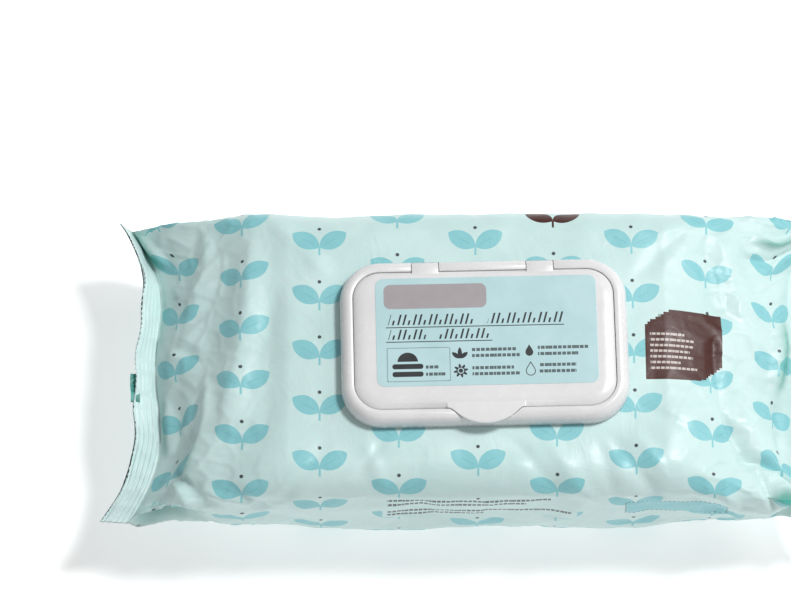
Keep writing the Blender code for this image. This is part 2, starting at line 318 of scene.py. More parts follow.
def chosen_folds():
    """The folds that give this pack its look, each where tension or a tuck would make it."""
    left_end = [
        Fold((-75, 44), (-93, -54), 8.5, -3.2, 0.3, 5),
        Fold((-68, 20), (-70, -30), 8, 0.9, 0.2),
        Fold((-89, -10), (-94, -50), 5, -2.8, 0.8, 1),
        Fold((-99, -4), (-101, -42), 6, 1.0, 0.5),
        Fold((-108, 52), (-103, 38), 2.6, -4.0, 0.9),
        Fold((-90, 50), (-101, 30), 5, 0.7, 0.5),
        Fold((-87, 50), (-98, 8), 5, -1.2, 0.6),
        Fold((-101, 26), (-86, 28), 3.0, -1.0, 0.9),
        Fold((-101, 8), (-88, -4), 3.0, 0.9, 0.9),
        Fold((-103, 0), (-90, 16), 3.0, -0.8, 0.9),
        Fold((-104, -12), (-103, -30), 2.6, -1.6, 0.6),
        Fold((-103, -46), (-95, -60), 2.6, 1.6, 1.0),
        Fold((-98, -45), (-88, -60), 2.6, -1.6, 1.0),
        Fold((-93, -46), (-82, -60), 3.0, 1.2, 1.0),
        Fold((-88, -50), (-72, -58), 2.8, -1.1, 1.0),
        Fold((-82, -46), (-68, -62), 3.4, 0.8, 0.8),
        Fold((-98, -40), (-91, -50), 2.0, 1.0, 1.0),
    ]
    around_lid = [
        Fold((-47, -30), (-66, -58), 4.0, 0.6, 0.7),
        Fold((-38, -31), (-30, -52), 3.4, -0.7, 0.7),
        Fold((-30, -31), (-40, -46), 2.6, 0.6, 0.9),
        Fold((10, -31), (30, -56), 3.6, 0.8, 0.7),
        Fold((22, -32), (40, -60), 4.2, -0.9, 0.7),
        Fold((43, -30), (62, -58), 4.2, 1.1, 0.8),
        Fold((49, -26), (62, -46), 2.8, -0.9, 0.9),
        Fold((40, -33), (46, -58), 3.2, 0.7, 0.7),
        Fold((50, -20), (70, -30), 3.0, 0.5, 0.8),
        Fold((51, 22), (74, 46), 4.2, 0.6, 0.6),
        Fold((-47, 24), (-70, 48), 4.5, -0.6, 0.5),
        Fold((-50, 0), (-72, 4), 7.0, -0.4, 0.3),
    ]
    right_end = [
        Fold((79, 6), (83, -28), 3.6, 1.5, 0.85, -1.5),
        Fold((82, -24), (91, -44), 3.6, 2.2, 0.9),
        Fold((88, -20), (96, -44), 5.0, -2.4, 0.6),
        Fold((77, 40), (80, 14), 6.0, 1.2, 0.3),
        Fold((84, 46), (90, 4), 5.0, -1.4, 0.5),
        Fold((89, 37), (104, 43), 3.0, 1.8, 0.9),
        Fold((92, 45), (107, 50), 3.0, -2.8, 0.9),
        Fold((94, 30), (101, 14), 6.0, 1.2, 0.5),
        Fold((102, 14), (100, -12), 3.4, -2.2, 0.8),
        Fold((102, -14), (101, -36), 3.4, 1.6, 0.7),
        Fold((70, -54), (80, -70), 5.0, 1.2, 0.6),
        Fold((80, -52), (86, -74), 4.0, -1.8, 0.8),
        Fold((91, -40), (104, -47), 2.6, 3.2, 1.0),
        Fold((91, -42), (93, -64), 2.6, 2.4, 1.0),
        Fold((94, -50), (104, -56), 4.0, -3.0, 0.8),
    ]
    front_face = [
        Fold((-60, -60), (-52, -78), 5.0, -0.8, 0.5),
        Fold((-20, -58), (-10, -80), 6.0, 0.7, 0.4),
        Fold((35, -60), (22, -82), 6.0, -0.7, 0.5),
        Fold((55, -58), (60, -82), 5.0, 0.8, 0.6),
    ]
    return left_end + around_lid + right_end + front_face


def scattered_folds(count, seed):
    """Faint short creases all over, as handling leaves them."""
    chance = np.random.default_rng(seed)
    folds = []
    for _ in range(count):
        start = np.array([chance.uniform(-104, 104), chance.uniform(-140, 140)])
        turn = chance.uniform(0, math.pi)
        length = chance.uniform(7, 24)
        end = start + length * np.array([math.cos(turn), math.sin(turn)])
        height = chance.uniform(0.05, 0.2) * chance.choice([-1, 1])
        folds.append(Fold(start, end, chance.uniform(1.6, 4.5), height, chance.uniform(0.4, 1.0)))
    return folds


def swells(u, v, waves, seed):
    """Broad uneven swelling, from a few long sine waves in both directions."""
    chance = np.random.default_rng(seed)
    total = np.zeros(np.broadcast(u, v).shape)
    for length, height in waves:
        for _ in range(3):
            turn = chance.uniform(0, 2 * math.pi)
            phase = chance.uniform(0, 2 * math.pi)
            across = u * math.cos(turn) + v * math.sin(turn)
            total += height / 3 * np.sin(across * 2 * math.pi / length + phase)
    return total


def cell_distances(u, v, pitch_u, pitch_v, margin, seed):
    """Squared distances, in cells, from each place to a random point in each of the nine cells around it."""
    jitter = np.random.default_rng(seed).uniform(margin, 1 - margin, (CELLS, CELLS, 2))
    place_u, place_v = u / pitch_u, v / pitch_v
    cell_u, cell_v = np.floor(place_u).astype(int), np.floor(place_v).astype(int)
    for step_u in (-1, 0, 1):
        for step_v in (-1, 0, 1):
            here_u, here_v = cell_u + step_u, cell_v + step_v
            offset = jitter[here_u % CELLS, here_v % CELLS]
            yield (here_u + offset[..., 0] - place_u) ** 2 + (here_v + offset[..., 1] - place_v) ** 2


def crumpled(u, v, pitch, stretch, seed):
    """Shallow bowls that meet in crisp ridges, from 0 in a bowl to about 1 on a ridge."""
    return functools.reduce(np.minimum, cell_distances(u, v, pitch * stretch, pitch, 0.1, seed))


def facet_edges(u, v, pitch, seed):
    """Narrow valleys between facets: 1 in a valley and 0 within a facet."""
    first = np.full(np.broadcast(u, v).shape, 9.0)
    second = first
    for squared in cell_distances(u, v, pitch, pitch, 0.05, seed):
        away = np.sqrt(squared)
        second = np.minimum(second, np.maximum(first, away))
        first = np.minimum(first, away)
    return 1 - smooth_step(second - first, 0.0, VALLEY_WIDTH)


def crumples(u, v):
    """Crumpled film: coarse towards the ends, and hardly at all where the wipes fill it tightly."""
    end = smooth_step(np.abs(u), *LOOSE_END)
    edge = smooth_step(np.abs(v), *LOOSE_EDGE)
    sway_u = u + SWAY * np.sin(v / (11 * MM))
    sway_v = v + SWAY * np.sin(u / (13 * MM))
    slant_u, slant_v = (sway_v + sway_u) * 0.7, (sway_v - sway_u) * 0.7

    def tall(middle, at_end, at_edge):
        return middle + at_end * end + at_edge * edge

    coarse = crumpled(sway_u, sway_v, 17 * MM, 1.3, seed=21) * tall(*COARSE_HEIGHTS)
    fine = crumpled(slant_u, slant_v, 8 * MM, 1.0, seed=22) * tall(*FINE_HEIGHTS)
    return coarse + fine - facet_edges(sway_u, sway_v, 7 * MM, seed=23) * tall(*CREASE_DEPTHS)


def folded(points, u, v):
    """The film with its folds and swells, left level under the flip-top's frame."""
    relief = swells(u, v, ((62 * MM, 0.9 * MM), (31 * MM, 0.4 * MM), (15 * MM, 0.15 * MM)), seed=4)
    relief = relief + crumples(u, v)
    for fold in chosen_folds() + scattered_folds(70, seed=11):
        relief = relief + fold.at(u, v)
    near_x = np.abs(points[:, :, 0] - BASE_MIDDLE[0]) - BASE_LENGTH / 2
    near_y = np.abs(points[:, :, 1] - BASE_MIDDLE[1]) - BASE_DEPTH / 2
    on_top = points[:, :, 2] > POUCH_TOP * 0.8
    off_frame = np.where(on_top, smooth_step(np.maximum(near_x, near_y), -1.0 * MM, 10 * MM), 1.0)
    in_seal = 1 - smooth_step(SEAL_INNER - np.abs(u), -1 * MM, 4 * MM)
    below = smooth_step(points[:, :, 2], 0.5 * MM, 8 * MM)
    relief = relief * off_frame * (1 - in_seal) * below
    return points + film_frame(points) * relief[:, :, None]


def ends_shaped(points, u):
    """The ends bowed, so that a seal's corners reach out, and the seals turned up and rippled."""
    x, y, z = (points[:, :, k] for k in range(3))
    side = np.sign(x)
    near_end = smooth_step(np.abs(u), SEAL_INNER - BOW_RUN, SEAL_INNER)
    out = np.clip(np.abs(y) / SEAL_HALF_LENGTH, 0.0, 1.0)
    bow = CORNER_REACH * out**4 + 1.0 * MM * np.cos((y - 2 * MM) * 2 * math.pi / SEAL_WAVE)
    into_seal = np.clip(np.abs(u) - SEAL_INNER, 0.0, SEAL_WIDTH)
    upright = np.radians(np.where(side < 0, LEFT_LIFT + LEFT_SWAY * np.sin(y / (34 * MM)), RIGHT_LIFT))
    in_seal = smooth_step(np.abs(u), SEAL_INNER - 2 * MM, SEAL_INNER + 1 * MM)
    ripple = 0.7 * MM * np.sin(y / (8 * MM) + side) + 0.3 * MM * np.sin(y / (3.7 * MM))
    ripple = ripple + 1.5 * MM * (crumpled(np.abs(u) + 0 * y, y, 6 * MM, 1.0, seed=31) - 0.3)
    strength = FAINTEST_RIB + (1 - FAINTEST_RIB) * smooth_step(-y, 12 * MM, 34 * MM)
    ribs = RIB_HEIGHT * strength * np.sin(into_seal * 2 * math.pi / RIB_PITCH)
    uneven_cut = into_seal * (0.05 * np.sin(y / (2.9 * MM)) + 0.05 * np.sin(y / (6.3 * MM) + 2 * side))
    shaped = points.copy()
    shaped[:, :, 0] = x + side * (near_end * bow - into_seal * (1 - np.cos(upright)) + uneven_cut)
    shaped[:, :, 2] = z + into_seal * np.sin(upright) + in_seal * (ripple + ribs)
    shaped[:, :, 2] += near_end * 1.5 * MM * np.sin(y / (17 * MM) + 1)
    return shaped


def toothed(points):
    """Zigzag outer edges, where a serrated knife cut the film."""
    for row, side in ((0, -1), (-1, 1)):
        points[row, ::2, 0] += side * TOOTH
    return points


def painted_fold_shade(tucks, u, v):
    """How much painted shade darkens the film, from 0 to 1: in the tucks and in the deepest folds."""
    shade_value = tucks * 1.6
    for fold in shaded_folds():
        shade_value = shade_value + fold.at(u, v)
    return np.clip(shade_value, 0.0, 1.0)


def shaded_folds():
    """Places where the film is folded so deep that it only shows its own reflected colour: painted shade
    darkens it there.
    """
    return [
        Fold((-109, 52), (-104, 36), 2.4, 1.0 / MM, 0.3),
        Fold((-105, -10), (-104, -30), 1.6, 0.5 / MM, 0.5),
        Fold((-92, -34), (-94, -50), 2.6, 0.35 / MM, 0.5),
        Fold((-105, 30), (-105, 6), 1.4, 0.3 / MM, 0.5),
        Fold((92, -54), (105, -60), 5.0, 1.1 / MM, 0.3),
        Fold((92, 45), (108, 49), 1.8, 0.8 / MM, 0.4),
        Fold((103, 16), (101, -12), 2.4, 0.9 / MM, 0.4),
    ]


def turned_about_z(points):
    """The film turned a little against the frame that is glued to it."""
    cos, sin = math.cos(FILM_TURN), math.sin(FILM_TURN)
    turned_points = points.copy()
    turned_points[:, :, 0] = points[:, :, 0] * cos - points[:, :, 1] * sin
    turned_points[:, :, 1] = points[:, :, 0] * sin + points[:, :, 1] * cos
    return turned_points


def end_closed(builder, ring):
    """Closes an end by joining each point of the upper layer to the one under it."""
    front = FLAT_STEPS + CORNER_SAMPLES + SIDE_STEPS // 2
    half = len(ring) // 2
    upper = [ring[(front + k) % len(ring)] for k in range(half + 1)]
    lower = [ring[(front - k) % len(ring)] for k in range(half + 1)]
    builder.faces.new((upper[0], upper[1], lower[1]))
    for k in range(1, half - 1):
        builder.faces.new((upper[k], upper[k + 1], lower[k + 1], lower[k]))
    builder.faces.new((upper[half - 1], upper[half], lower[half - 1]))


def film_sheet():
    """The film before its folds: stations, points, how far they are tucked in, lengths along and around."""
    x = film_stations()
    points = evened(film_points(x, girth_samples()))
    points, tucks = points[:, :, :3], points[:, :, 3]
    around = girth_lengths(points)
    along = lengths_along(points, int(np.argmin(np.abs(around))))
    return x, points, tucks, along, around


def make_film():
    x, points, tucks, along, around = film_sheet()
    u, v = x[:, None], around[None, :-1]
    # painted shade in the tucks and deep folds
    fold_shade_values = painted_fold_shade(tucks, u, v)
    points = turned_about_z(toothed(ends_shaped(folded(points, u, v), u)))
    builder = bmesh.new()
    map_layer = builder.loops.layers.uv.new("Film")
    # a vertex layer that carries the painted shade of the tucks and deep folds
    shade_layer = builder.verts.layers.float.new("FoldShade")
    rings = [[builder.verts.new(point) for point in ring] for ring in points]
    for ring, ring_shade_values in zip(rings, fold_shade_values):
        for vertex, shade_value in zip(ring, ring_shade_values):
            vertex[shade_layer] = float(shade_value)
    count = points.shape[1]
    for i in range(len(rings) - 1):
        for j in range(count):
            following = (j + 1) % count
            corners = ((i, j, j), (i, following, j + 1), (i + 1, following, j + 1), (i + 1, j, j))
            face = builder.faces.new([rings[row][column] for row, column, _ in corners])
            for loop, (row, _, place) in zip(face.loops, corners):
                loop[map_layer].uv = (along[row], around[place])
    for ring in (rings[0], rings[-1]):
        end_closed(builder, ring)
    material = film_material(float(np.interp(SEAL_INNER, x, along)))
    piece_from(builder, "film_skin", material, "pack", "film_pack")


BACK_SEAL_WIDTH = 13 * MM
BACK_SEAL_THICKNESS = 0.5 * MM
BACK_RIB_PITCH = 1.4 * MM
OFF_GROUND = 0.03 * MM
SEAL_END_REACH = (-9.5 * MM, 0.5 * MM)
BACK_SEAL_STEPS = 420


def underside_height(x):
    """Height of the film's underside above the ground."""
    fall = eased((SEAL_INNER - abs(x)) / UNDER_RUN, UNDER_BEND)
    return (SEAL_HEIGHT - SEAL_HALF_THICKNESS) * (1 - fall) + UNDERSIDE * fall


def make_back_seal():
    """The long seal under the pouch, folded flat against it, with fine ribs across it."""
    half = SEAL_INNER - 6 * MM
    builder = bmesh.new()
    rings = []
    for x in np.linspace(-half, half, BACK_SEAL_STEPS):
        rib = 0.07 * MM * math.sin(x * 2 * math.pi / BACK_RIB_PITCH)
        sway = 0.6 * MM * math.sin(x / (31 * MM))
        high = underside_height(x) - 0.12 * MM + rib
        low = max(high - BACK_SEAL_THICKNESS, OFF_GROUND)
        left, right = sway - BACK_SEAL_WIDTH * 0.3, sway + BACK_SEAL_WIDTH * 0.7
        section = ((left, high), (right, high), (right, low), (left, low))
        rings.append([builder.verts.new((x, y, z)) for y, z in section])
    capped(builder, rings)
    piece_from(builder, "back_seal", seal_material(), "pack", None, sharp=40)


def make_seal_end():
    """The end of the back seal, folded up behind the left seal's outer edge."""
    builder = bmesh.new()
    rings = []
    for y in np.linspace(*SEAL_END_REACH, 15):
        lift = 0.5 * MM * math.sin(y / (1.6 * MM))
        inner, outer = -112.5 * MM, -115.6 * MM + 0.3 * lift
        section = ((inner, 34.0), (outer, 34.6), (outer, 34.1), (inner, 33.4))
        rings.append([builder.verts.new((x, y, z * MM + lift)) for x, z in section])
    capped(builder, rings)
    # coloured dark teal with painted shade
    piece_from(builder, "seal_end", shaded_film_material(), "pack", None, sharp=40)


# ---- The flip-top lid ----

FRAME_CORNER = 13.5 * MM
TIGHTEST_CORNER = 0.5 * MM
CORNER_STEPS = 20
RIM_WIDTH = 4.25 * MM
RIM_HEIGHT = 6.6 * MM
RIM_ROUND = (3.2 * MM, 4.4 * MM)
WALL = 1.2 * MM
SEAT_HEIGHT = 3.4 * MM
SEAT_INSET = RIM_WIDTH + 1.35 * MM
DECK_HEIGHT = 1.8 * MM
COLLAR_INSET = 9.2 * MM
COLLAR_HEIGHT = 4.0 * MM
SEAM = 0.17 * MM
LID_INSET = RIM_WIDTH + SEAM
LID_HEIGHT = 7.2 * MM
LID_ROLL = (4.5 * MM, 1.6 * MM)
CEILING = LID_HEIGHT - 1.2 * MM
BEAD = (3.25 * MM, 0.9 * MM, 3.3 * MM)  # the sealing bead's inset from the lid's outline, thickness and foot
STRAP_CENTRE = 19 * MM
STRAP_WIDTH = 8.8 * MM
STRAP_THICKNESS = 0.8 * MM
STRAP_END = 0.9 * MM  # from the frame's outer edge
STRAP_GAP = 0.25 * MM
TAB_HALF_WIDTH = 11.5 * MM
TAB_OVERHANG = 1.0 * MM
TAB_TOP = 6.9 * MM
TAB_THICKNESS = 1.0 * MM
TAB_GAP = 0.3 * MM
TAB_FILLET = 1.4 * MM
TAB_ROWS = 10
LABEL_CORNER = 2.7 * MM
LABEL_RISE = 0.1 * MM  # above the lid
# How far in from the label's outline, and how far below its top, each ring of its edge lies
LABEL_EDGE = ((0.0, 0.4 * MM), (0.0, 0.03 * MM), (0.04 * MM, 0.0), (0.12 * MM, 0.0), (3 * MM, 0.0))
EDGE_BEVEL = 0.16 * MM


def swept_rings(builder, section):
    """A section carried around the frame's outline: inset and height of each point."""
    rings = []
    for inset, height in section:
        corner = max(FRAME_CORNER - inset, TIGHTEST_CORNER)
        outline = rounded_rectangle(
            BASE_MIDDLE, BASE_LENGTH - 2 * inset, BASE_DEPTH - 2 * inset, corner, CORNER_STEPS
        )
        rings.append([builder.verts.new((x, y, BASE_FOOT + height)) for x, y in outline])
    return rings


def frame_section():
    """Over the rim, down to the deck, up the collar and back under, with every edge a little round."""
    shoulder = RIM_HEIGHT - RIM_ROUND[1]
    centre = (RIM_ROUND[0], shoulder)
    small = 0.25 * MM
    window = COLLAR_INSET + WALL
    return [
        (0.15 * MM, 0.0),
        (0.0, 0.2 * MM),
        *arc(centre, *RIM_ROUND, 180, 90, 14),
        (RIM_WIDTH - 0.45 * MM, RIM_HEIGHT - 0.12 * MM),
        *arc((RIM_WIDTH - 0.4 * MM, RIM_HEIGHT - 0.45 * MM), 0.4 * MM, 0.3 * MM, 70, 0, 4),
        (RIM_WIDTH, SEAT_HEIGHT + small),
        (RIM_WIDTH + small, SEAT_HEIGHT),
        (SEAT_INSET - small, SEAT_HEIGHT),
        (SEAT_INSET, SEAT_HEIGHT - small),
        (SEAT_INSET, DECK_HEIGHT + small),
        (SEAT_INSET + small, DECK_HEIGHT),
        (COLLAR_INSET - small, DECK_HEIGHT),
        (COLLAR_INSET, DECK_HEIGHT + small),
        *arc((COLLAR_INSET + WALL / 2, COLLAR_HEIGHT - WALL / 2), WALL / 2, WALL / 2, 180, 0, 8),
        (window, 0.2 * MM),
        (window - 0.2 * MM, 0.0),
        (COLLAR_INSET, 0.0),
        (COLLAR_INSET, DECK_HEIGHT - WALL),
        (SEAT_INSET - WALL, DECK_HEIGHT - WALL),
        (SEAT_INSET - WALL, SEAT_HEIGHT - WALL),
        (RIM_WIDTH - WALL, SEAT_HEIGHT - WALL),
        *arc(centre, RIM_ROUND[0] - WALL, 5.0 * MM - shoulder, 95, 180, 6),
        (WALL, 0.0),
    ]


def lid_section():
    """From the middle of the underside out round the skirt, then over the rolled edge to the top."""
    bead_inset, bead_thickness, bead_foot = BEAD
    inner = LID_INSET + bead_inset + bead_thickness
    outer = LID_INSET + bead_inset
    centre = (LID_INSET + LID_ROLL[0], LID_HEIGHT - LID_ROLL[1])
    half = bead_thickness / 2
    foot = SEAT_HEIGHT + SEAM
    return [
        (inner + 6 * MM, CEILING),
        (inner + 0.3 * MM, CEILING),
        (inner, CEILING - 0.3 * MM),
        *arc((inner - half, bead_foot + half), half, half, 0, -180, 6),
        (outer, CEILING - 0.3 * MM),
        (outer - 0.3 * MM, CEILING),
        (LID_INSET + WALL + 0.4 * MM, CEILING),
        (LID_INSET + WALL, CEILING - 0.4 * MM),
        (LID_INSET + WALL, foot),
        (LID_INSET + 0.15 * MM, foot),
        (LID_INSET, foot + 0.15 * MM),
        *arc(centre, *LID_ROLL, 180, 90, 16),
        (LID_INSET + LID_ROLL[0] + 4 * MM, LID_HEIGHT),
    ]


def tab_outline(extra=0.0, fillet=0.0):
    """The thumb tab's front edge, a slice of a circle that runs into the lid's edge with a fillet."""
    lid_front = BASE_LOW[1] + LID_INSET
    reach = LID_INSET + TAB_OVERHANG
    radius = (TAB_HALF_WIDTH**2 + reach**2) / (2 * reach) + extra
    centre_y = lid_front - reach + radius - extra
    half = TAB_HALF_WIDTH + extra + fillet
    points = []
    for x in np.linspace(-half, half, 61):
        circle = centre_y - math.sqrt(max(radius**2 - x**2, 0.0))
        if fillet:
            gap = (lid_front - circle) / fillet
            circle = lid_front - fillet * math.log1p(math.exp(min(gap * 3, 60))) / 3
        points.append((BASE_MIDDLE[0] + x, min(circle, lid_front + extra)))
    return points


def rim_height(y):
    """Height of the rear rim's rounded top."""
    share = np.clip((RIM_ROUND[0] - (BASE_HIGH[1] - y)) / RIM_ROUND[0], 0.0, 1.0)
    return BASE_FOOT + RIM_HEIGHT - RIM_ROUND[1] * (1 - math.sqrt(1 - share**2))


def straps(half, front, rear, upper, lower):
    """Two bars whose top and underside lie a given way above and below the rear rim's rounded top."""
    bars = []
    for side in (-1, 1):
        middle_x = BASE_MIDDLE[0] + side * STRAP_CENTRE
        builder = bmesh.new()
        rings = []
        for y in np.linspace(front, rear, 13):
            high, low = rim_height(y) + upper, rim_height(y) - lower
            places = ((-half, high), (half, high), (half, low), (-half, low))
            rings.append([builder.verts.new((middle_x + x, y, z)) for x, z in places])
        capped(builder, rings)
        bars.append(thing_from(builder, "strap"))
    return bars


def prism(outline, low, high, name):
    """A tool for a Boolean: a flat outline extruded from one height to another."""
    builder = bmesh.new()
    capped(builder, [[builder.verts.new((x, y, z)) for x, y in outline] for z in (low, high)])
    return thing_from(builder, name)


def combined(thing, tools, operation):
    """Applies Booleans with tools that are then thrown away."""
    for tool in tools:
        modifier = thing.modifiers.new(tool.name, "BOOLEAN")
        modifier.object = tool
        modifier.operation = operation
        modifier.solver = "EXACT"
    applied(thing)
    for tool in tools:
        bpy.data.objects.remove(tool, do_unlink=True)


def applied(thing):
    """The thing's mesh with its modifiers made final."""
    evaluated = thing.evaluated_get(bpy.context.evaluated_depsgraph_get())
    mesh = bpy.data.meshes.new_from_object(evaluated)
    thing.modifiers.clear()
    thing.data = mesh
    mesh.name = thing.name


def edges_rounded(thing):
    """Small bevels on every sharp edge, then smooth shading."""
    bevel = thing.modifiers.new("Edges", "BEVEL")
    bevel.width = EDGE_BEVEL
    bevel.segments = 2
    bevel.limit_method = "ANGLE"
    bevel.angle_limit = math.radians(40)
    bevel.use_clamp_overlap = True
    applied(thing)
    thing.data.shade_smooth()
    thing.data.set_sharp_from_angle(angle=math.radians(38))


def border(grid):
    """The vertices around the edge of a grid."""
    right = [line[-1] for line in grid[1:]]
    left = [line[0] for line in grid[-2:0:-1]]
    return grid[0] + right + grid[-1][-2::-1] + left


def curved_tab():
    """The thumb tab as a plate whose top dips a little towards its tip, rooted in the lid's edge."""
    front = tab_outline(fillet=TAB_FILLET)
    lid_front = BASE_LOW[1] + LID_INSET
    root = lid_front + 3.2 * MM
    builder = bmesh.new()

    def layer(lift):
        grid = []
        for share in np.linspace(0.0, 1.0, TAB_ROWS + 1):
            line = []
            for x, y in front:
                place = root + (y - root) * share
                past = max(0.0, lid_front + 1.5 * MM - place)
                dip = 0.25 * MM * (past / (6 * MM)) ** 2
                line.append(builder.verts.new((x, place, BASE_FOOT + TAB_TOP + lift - dip)))
            grid.append(line)
        return grid

    top, under = layer(0.0), layer(-TAB_THICKNESS)
    for grid in (top, under):
        for line, following in zip(grid, grid[1:]):
            for i in range(len(line) - 1):
                builder.faces.new((line[i], line[i + 1], following[i + 1], following[i]))
    bridged(builder, [border(top), border(under)])
    return thing_from(builder, "tab")


def make_frame():
    builder = bmesh.new()
    rings = swept_rings(builder, frame_section())
    bridged(builder, [*rings, rings[0]])
    plastic = white_plastic("frame_plastic")
    thing = piece_from(builder, "flip_top_frame", plastic, "pack", "lid_base")
    root = BASE_LOW[1] + LID_INSET + WALL
    outline = tab_outline(extra=TAB_GAP, fillet=TAB_FILLET)
    outline = [*outline, (outline[-1][0], root), (outline[0][0], root)]
    foot = BASE_FOOT + TAB_TOP - TAB_THICKNESS - TAB_GAP
    tab_slot = prism(outline, foot, BASE_FOOT + 2 * RIM_HEIGHT, "tab_slot")
    front, rear = BASE_HIGH[1] - RIM_WIDTH - 0.3 * MM, BASE_HIGH[1] - STRAP_END + 0.2 * MM
    slots = straps(STRAP_WIDTH / 2 + STRAP_GAP, front, rear, RIM_HEIGHT, STRAP_THICKNESS + STRAP_GAP)
    combined(thing, [tab_slot, *slots], "DIFFERENCE")
    edges_rounded(thing)


def make_lid():
    builder = bmesh.new()
    capped(builder, swept_rings(builder, lid_section()))
    plastic = white_plastic("lid_plastic")
    thing = piece_from(builder, "flip_lid_panel", plastic, "flip_lid", "lid")
    front, rear = BASE_HIGH[1] - LID_INSET - WALL, BASE_HIGH[1] - STRAP_END
    bars = straps(STRAP_WIDTH / 2, front, rear, 0.0, STRAP_THICKNESS)
    combined(thing, [curved_tab(), *bars], "UNION")
    edges_rounded(thing)


def make_label():
    """A thin label with round corners that lies on the lid."""
    middle = (LABEL_LOW + LABEL_HIGH) / 2
    length, depth = (LABEL_HIGH - LABEL_LOW)[:2]
    top = BASE_FOOT + LID_HEIGHT + LABEL_RISE
    builder = bmesh.new()
    rings = []
    for inset, below in LABEL_EDGE:
        corner = max(LABEL_CORNER - inset, 0.4 * MM)
        outline = rounded_rectangle(middle, length - 2 * inset, depth - 2 * inset, corner, 10)
        rings.append([builder.verts.new((x, y, top - below)) for x, y in outline])
    capped(builder, rings)
    piece_from(builder, "lid_sticker", label_material(), "flip_lid", "lid_label", sharp=40)


# ---- Materials: a value that varies over a surface is a Field, and arithmetic on it adds nodes ----


def operation(name):
    """A method that puts a Field, and any other values, through a Math node."""
    return lambda self, *others: self.maths(name, *others)


class Field:
    """A node's output, with arithmetic."""

    def __init__(self, tree, socket):
        self.tree = tree
        self.socket = socket

    def maths(self, name, *others):
        node = self.tree.nodes.new("ShaderNodeMath")
        node.operation = name
        for slot, value in zip(node.inputs, (self, *others)):
            if isinstance(value, Field):
                self.tree.links.new(value.socket, slot)
            else:
                slot.default_value = value
        return Field(self.tree, node.outputs[0])

    __add__ = __radd__ = operation("ADD")
    __sub__ = operation("SUBTRACT")
    __mul__ = __rmul__ = operation("MULTIPLY")
    __truediv__ = operation("DIVIDE")
    __abs__ = operation("ABSOLUTE")
    least = operation("MINIMUM")
    most = operation("MAXIMUM")
    floor = operation("FLOOR")
    sine = operation("SINE")

    def __rsub__(self, other):
        return self * -1.0 + other

    def wrapped(self, period):
        """The remainder, from minus half a period to plus half."""
        return (self / period + 0.5).maths("FRACT") * period - period / 2

    def ink(self, softness):
        """1 where a distance is below 0, and 0 above it, with an edge as soft as given."""
        return self.ranged(softness, -softness)

    def ranged(self, low, high, to_low=0.0, to_high=1.0):
        """to_low where this is low, to_high where it is high, and a smooth step between."""
        node = self.tree.nodes.new("ShaderNodeMapRange")
        node.interpolation_type = "SMOOTHSTEP"
        self.tree.links.new(self.socket, node.inputs["Value"])
        set_inputs(node, {"From Min": low, "From Max": high, "To Min": to_low, "To Max": to_high})
        return Field(self.tree, node.outputs["Result"])


def length_of(a, b):
    """The distance of a point (a, b) from the origin."""
    return (a * a + b * b).maths("SQRT")


def rectangle(x, y, left, right, low, high, corner=0.0):
    """Distance from a rectangle's edge, below 0 inside."""
    across = abs(x - (left + right) / 2) - ((right - left) / 2 - corner)
    upward = abs(y - (low + high) / 2) - ((high - low) / 2 - corner)
    if not corner:
        return across.most(upward)
    return length_of(across.most(0.0), upward.most(0.0)) + across.most(upward).least(0.0) - corner


def disc(x, y, middle_x, middle_y, radius):
    return length_of(x - middle_x, y - middle_y) - radius


def turned(x, y, degrees):
    """The coordinates of a point in axes that are turned."""
    cos, sin = math.cos(math.radians(degrees)), math.sin(math.radians(degrees))
    return x * cos + y * sin, y * cos - x * sin


def leaf(x, y, length, width):
    """A pointed leaf that grows from the origin along x: where two discs overlap."""
    radius = (length**2 + width**2) / (4 * width)
    offset = radius - width / 2
    return length_of(x - length / 2, abs(y) + offset) - radius


def set_inputs(node, values):
    """Sets a node's own values by the names of its sockets."""
    for name, value in values.items():
        node.inputs[name].default_value = value


def translucent(shader, weight, radius, depth):
    """Lets light into a surface, by colour and to a depth."""
    set_inputs(shader, {"Subsurface Weight": weight, "Subsurface Radius": radius, "Subsurface Scale": depth})


def grain(place, scale, detail=3.0, roughness=0.5, distortion=0.0):
    """Noise with a value about 0.5."""
    node = place.tree.nodes.new("ShaderNodeTexNoise")
    set_inputs(node, {"Scale": scale, "Detail": detail, "Roughness": roughness, "Distortion": distortion})
    place.tree.links.new(place.socket, node.inputs["Vector"])
    return Field(place.tree, node.outputs["Fac"])


def uneven(place, scale, low, high, detail=3.0):
    """A value that wanders over the surface from low to high."""
    return grain(place, scale, detail).ranged(0.3, 0.7, low, high)


def together(fields):
    """The greatest of several fields at each place."""
    return functools.reduce(Field.most, fields)


def painted(base, *layers):
    """A colour built up from a base and layers: each is a colour, and the Field where it shows."""
    below = None
    for colour, cover in layers:
        node = cover.tree.nodes.new("ShaderNodeMix")
        node.data_type = "RGBA"
        cover.tree.links.new(cover.socket, node.inputs["Factor"])
        if below:
            cover.tree.links.new(below.socket, node.inputs[6])
        else:
            node.inputs[6].default_value = (*base, 1.0)
        node.inputs[7].default_value = (*colour, 1.0)
        below = Field(cover.tree, node.outputs[2])
    return below


def new_material(name):
    material = bpy.data.materials.new(name)
    material.use_nodes = True
    tree = material.node_tree
    return material, tree, tree.nodes["Principled BSDF"]


def own_coordinates(tree):
    return Field(tree, tree.nodes.new("ShaderNodeTexCoord").outputs["Object"])


def millimetres(place, origin=(0.0, 0.0, 0.0)):
    """x, y and z of a place in metres, as fields in millimetres from an origin."""
    split = place.tree.nodes.new("ShaderNodeSeparateXYZ")
    place.tree.links.new(place.socket, split.inputs[0])
    return [Field(place.tree, split.outputs[k]) / MM - origin[k] / MM for k in range(3)]


